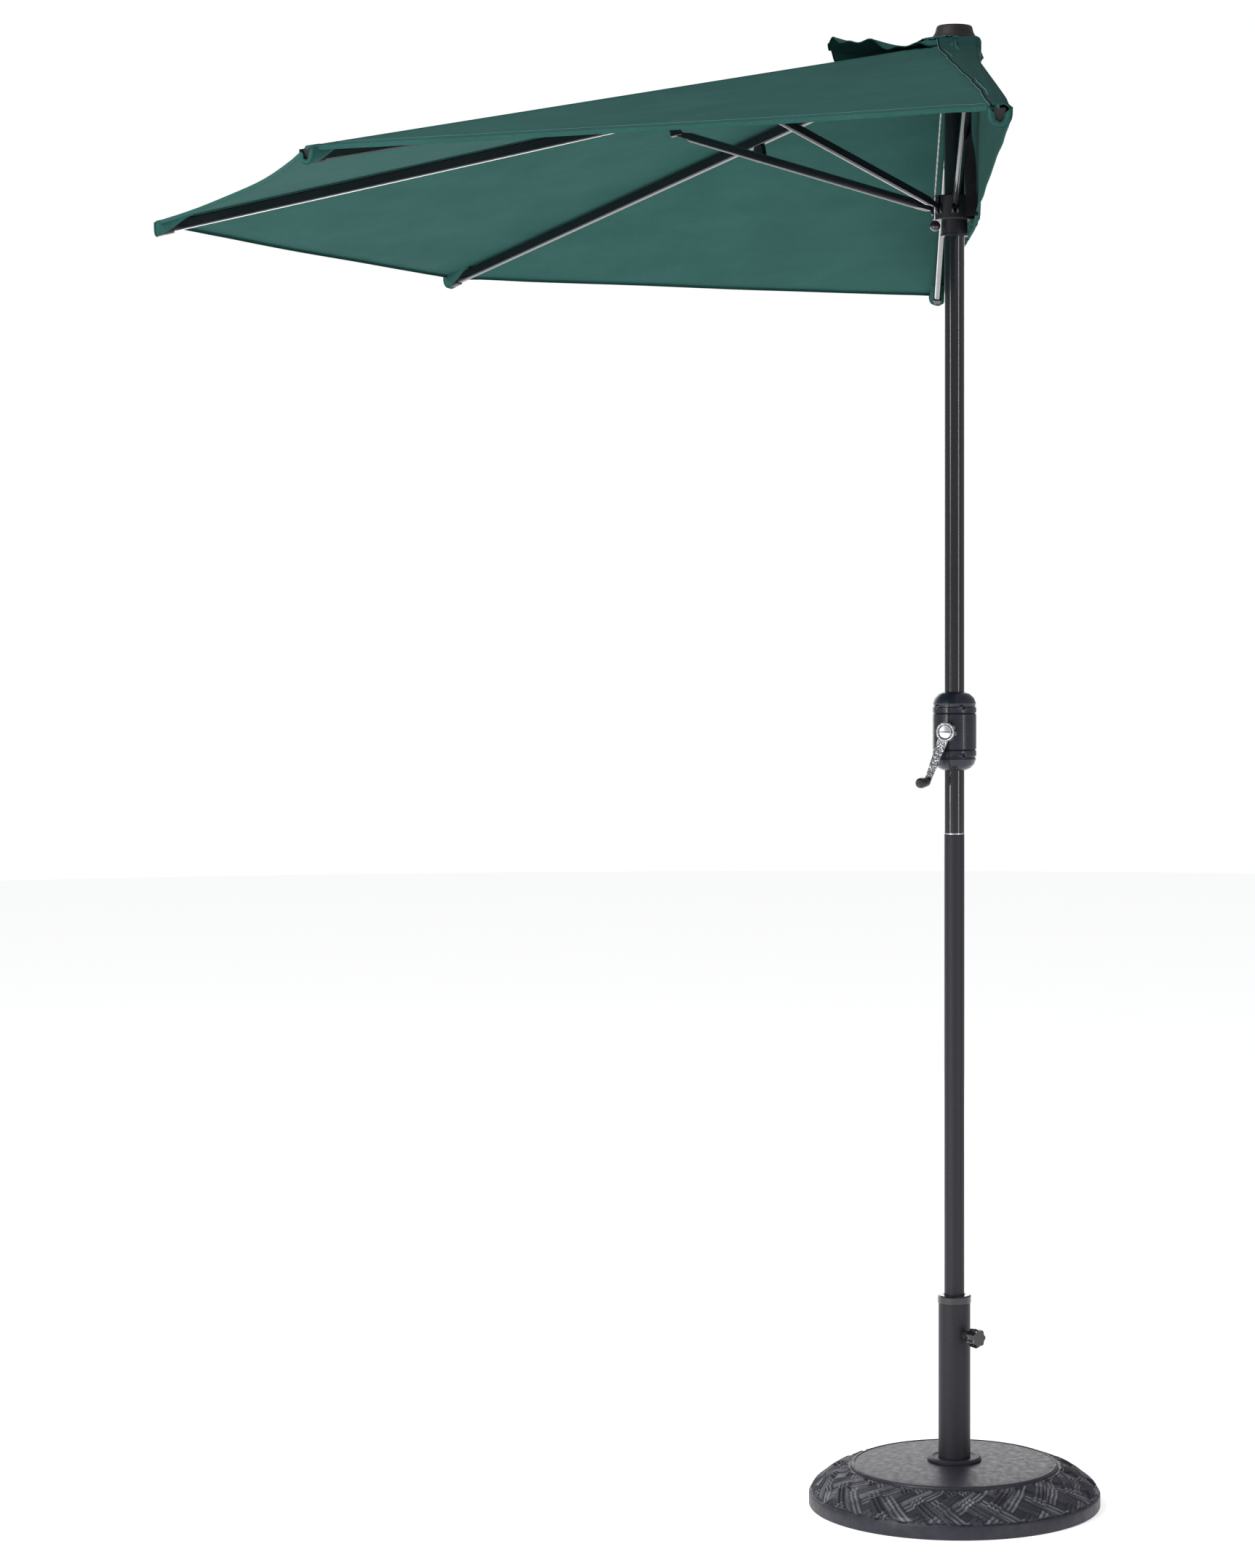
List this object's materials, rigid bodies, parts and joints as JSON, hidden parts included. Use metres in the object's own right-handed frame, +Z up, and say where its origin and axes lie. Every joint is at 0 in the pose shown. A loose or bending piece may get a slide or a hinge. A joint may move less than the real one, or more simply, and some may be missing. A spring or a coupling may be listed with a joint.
{
  "type": "patio umbrella with base",
  "caption": "Half-round balcony parasol with a flat wall side, crank lift, folding ribs and struts, and a round cast weight with a clamped socket tube.",
  "frame": {"origin": "on the floor, at the mast's axis, in the middle of the weight's underside", "axes": "+Z up along the mast; -Y out from the wall towards the front rib; the straight wall side runs along X"},
  "size_m": [2.5424, 1.5026, 2.3507],
  "materials": {
    "cast_weight": "satin",
    "black_steel": "satin",
    "gloss_steel": "gloss",
    "black_plastic": "satin",
    "gloss_plastic": "gloss",
    "housing_plastic": "satin",
    "finial_plastic": "satin",
    "chrome": "polished",
    "zinc": "satin",
    "cord": "matte",
    "canopy_cloth": "matte"
  },
  "bodies": {
    "base": {"base_weight": "cast_weight", "bottom_cap": "black_plastic", "tie_bolt": "zinc", "base_tube": "black_steel", "base_rose": "black_steel", "socket_collar": "black_plastic"},
    "clamp": {"clamp_knob": "gloss_plastic", "clamp_stud": "zinc"},
    "seat": {"pole_seat": "black_plastic"},
    "lower_mast": {"lower_pole": "black_steel", "pole_foot": "black_plastic", "pole_coupler": "zinc"},
    "upper_mast": {"upper_pole": "gloss_steel", "housing_right": "housing_plastic", "housing_left": "housing_plastic", "housing_screw_lower": "zinc", "housing_screw_upper": "zinc", "brake_spring": "zinc", "top_hub": "black_plastic", "hub_ring": "zinc", "pulley_axle": "zinc", "lift_cord_inner": "cord", "vent_flap": "canopy_cloth"},
    "crank": {"crank_shaft": "zinc", "cord_spool": "zinc", "crank_arm": "chrome", "crank_cap": "chrome", "grip_pin": "zinc"},
    "grip": {"crank_grip": "black_plastic"},
    "finial": {"finial_cap": "finial_plastic"},
    "pulley": {"cord_pulley": "zinc"},
    "cord_tail": {"lift_cord": "cord", "cord_ball": "gloss_plastic"},
    "runner": {"runner": "black_plastic", "runner_ring": "zinc"},
    "rib_1": {"rib_1": "gloss_steel", "rib_tip_1": "black_plastic", "strut_bracket_1": "gloss_steel", "canopy_panel_1": "canopy_cloth"},
    "strut_1": {"strut_1": "gloss_steel"},
    "rib_2": {"rib_2": "gloss_steel", "rib_tip_2": "black_plastic", "strut_bracket_2": "gloss_steel", "canopy_panel_2": "canopy_cloth"},
    "strut_2": {"strut_2": "gloss_steel"},
    "rib_3": {"rib_3": "gloss_steel", "rib_tip_3": "black_plastic", "strut_bracket_3": "gloss_steel", "canopy_panel_3": "canopy_cloth"},
    "strut_3": {"strut_3": "gloss_steel"},
    "rib_4": {"rib_4": "gloss_steel", "rib_tip_4": "black_plastic", "strut_bracket_4": "gloss_steel", "canopy_panel_4": "canopy_cloth"},
    "strut_4": {"strut_4": "gloss_steel"},
    "rib_5": {"rib_5": "gloss_steel", "rib_tip_5": "black_plastic", "strut_bracket_5": "gloss_steel", "canopy_panel_5": "canopy_cloth"},
    "strut_5": {"strut_5": "gloss_steel"}
  },
  "joints": [
    {"name": "mast_swivel", "type": "hinge", "parent": "base", "child": "seat", "pos_m": [0, 0, 0.04], "axis": [0, 0, 1], "continuous": true},
    {"name": "mast_lift", "type": "slide", "parent": "seat", "child": "lower_mast", "axis": [0, 0, 1], "range_m": [0, 0.25]},
    {"name": "mast_split", "type": "slide", "parent": "lower_mast", "child": "upper_mast", "axis": [0, 0, 1], "range_m": [0, 0.088]},
    {"name": "clamp_turn", "type": "hinge", "parent": "base", "child": "clamp", "pos_m": [0.02527, 0.02275, 0.27], "axis": [0.7431, 0.6691, 0], "range_deg": [0, 720]},
    {"name": "canopy_fold", "type": "hinge", "parent": "upper_mast", "child": "rib_3", "pos_m": [0, -0.03, 2.302], "axis": [1, 0, 0], "range_deg": [0, 71.5], "deforming": ["canopy_panel_3", "vent_flap"]},
    {"name": "rib_1_fold", "type": "hinge", "parent": "upper_mast", "child": "rib_1", "pos_m": [0.03, 0.00026, 2.302], "axis": [-0.0087, 1, 0], "range_deg": [0, 71.5], "deforming": ["canopy_panel_1"]},
    {"name": "rib_2_fold", "type": "hinge", "parent": "upper_mast", "child": "rib_2", "pos_m": [0.02121, -0.02121, 2.302], "axis": [0.7071, 0.7071, 0], "range_deg": [0, 71.5], "deforming": ["canopy_panel_2"]},
    {"name": "rib_4_fold", "type": "hinge", "parent": "upper_mast", "child": "rib_4", "pos_m": [-0.02121, -0.02121, 2.302], "axis": [0.7071, -0.7071, 0], "range_deg": [0, 71.5], "deforming": ["canopy_panel_4"]},
    {"name": "rib_5_fold", "type": "hinge", "parent": "upper_mast", "child": "rib_5", "pos_m": [-0.03, 0.00026, 2.302], "axis": [-0.0087, -1, 0], "range_deg": [0, 71.5], "deforming": ["canopy_panel_5"]},
    {"name": "strut_1_pivot", "type": "hinge", "parent": "rib_1", "child": "strut_1", "pos_m": [0.44281, 0.00386, 2.17975], "axis": [-0.0087, 1, 0], "range_deg": [-143, 0]},
    {"name": "strut_2_pivot", "type": "hinge", "parent": "rib_2", "child": "strut_2", "pos_m": [0.31312, -0.31312, 2.17975], "axis": [0.7071, 0.7071, 0], "range_deg": [-143, 0]},
    {"name": "strut_3_pivot", "type": "hinge", "parent": "rib_3", "child": "strut_3", "pos_m": [0, -0.44283, 2.17975], "axis": [1, 0, 0], "range_deg": [-143, 0]},
    {"name": "strut_4_pivot", "type": "hinge", "parent": "rib_4", "child": "strut_4", "pos_m": [-0.31312, -0.31312, 2.17975], "axis": [0.7071, -0.7071, 0], "range_deg": [-143, 0]},
    {"name": "strut_5_pivot", "type": "hinge", "parent": "rib_5", "child": "strut_5", "pos_m": [-0.44281, 0.00386, 2.17975], "axis": [-0.0087, -1, 0], "range_deg": [-143, 0]},
    {"name": "runner_pivot", "type": "hinge", "parent": "strut_3", "child": "runner", "pos_m": [0, -0.03, 2.0575], "axis": [1, 0, 0], "range_deg": [0, 71.5]},
    {"name": "cord_feed", "type": "slide", "parent": "upper_mast", "child": "cord_tail", "axis": [0, 0, -1], "range_m": [0, 0.61657], "deforming": ["lift_cord", "cord_ball", "lift_cord_inner"]},
    {"name": "crank_turn", "type": "hinge", "parent": "upper_mast", "child": "crank", "pos_m": [0, 0, 1.228], "axis": [0.9455, -0.3256, 0], "range_deg": [0, 4153.72]},
    {"name": "pulley_spin", "type": "hinge", "parent": "upper_mast", "child": "pulley", "pos_m": [0.00249, -0.006, 2.2495], "axis": [0.9239, 0.3827, 0], "range_deg": [0, 2615.68]},
    {"name": "grip_spin", "type": "hinge", "parent": "crank", "child": "grip", "pos_m": [0.03281, -0.04508, 1.14815], "axis": [0.9455, -0.3256, 0], "continuous": true},
    {"name": "finial_unscrew", "type": "hinge", "parent": "upper_mast", "child": "finial", "pos_m": [0, 0, 2.33], "axis": [0, 0, 1], "range_deg": [0, 1080]}
  ],
  "couplings": [
    {"joint": "rib_1_fold", "follows": "canopy_fold", "ratio": 1},
    {"joint": "rib_2_fold", "follows": "canopy_fold", "ratio": 1},
    {"joint": "rib_4_fold", "follows": "canopy_fold", "ratio": 1},
    {"joint": "rib_5_fold", "follows": "canopy_fold", "ratio": 1},
    {"joint": "strut_1_pivot", "follows": "canopy_fold", "ratio": -2},
    {"joint": "strut_2_pivot", "follows": "canopy_fold", "ratio": -2},
    {"joint": "strut_3_pivot", "follows": "canopy_fold", "ratio": -2},
    {"joint": "strut_4_pivot", "follows": "canopy_fold", "ratio": -2},
    {"joint": "strut_5_pivot", "follows": "canopy_fold", "ratio": -2},
    {"joint": "runner_pivot", "follows": "canopy_fold", "ratio": 1},
    {"joint": "cord_feed", "follows": "canopy_fold", "m_per_rad": 0.49368},
    {"joint": "crank_turn", "follows": "canopy_fold", "ratio": 58.08},
    {"joint": "pulley_spin", "follows": "canopy_fold", "ratio": 36.569}
  ]
}
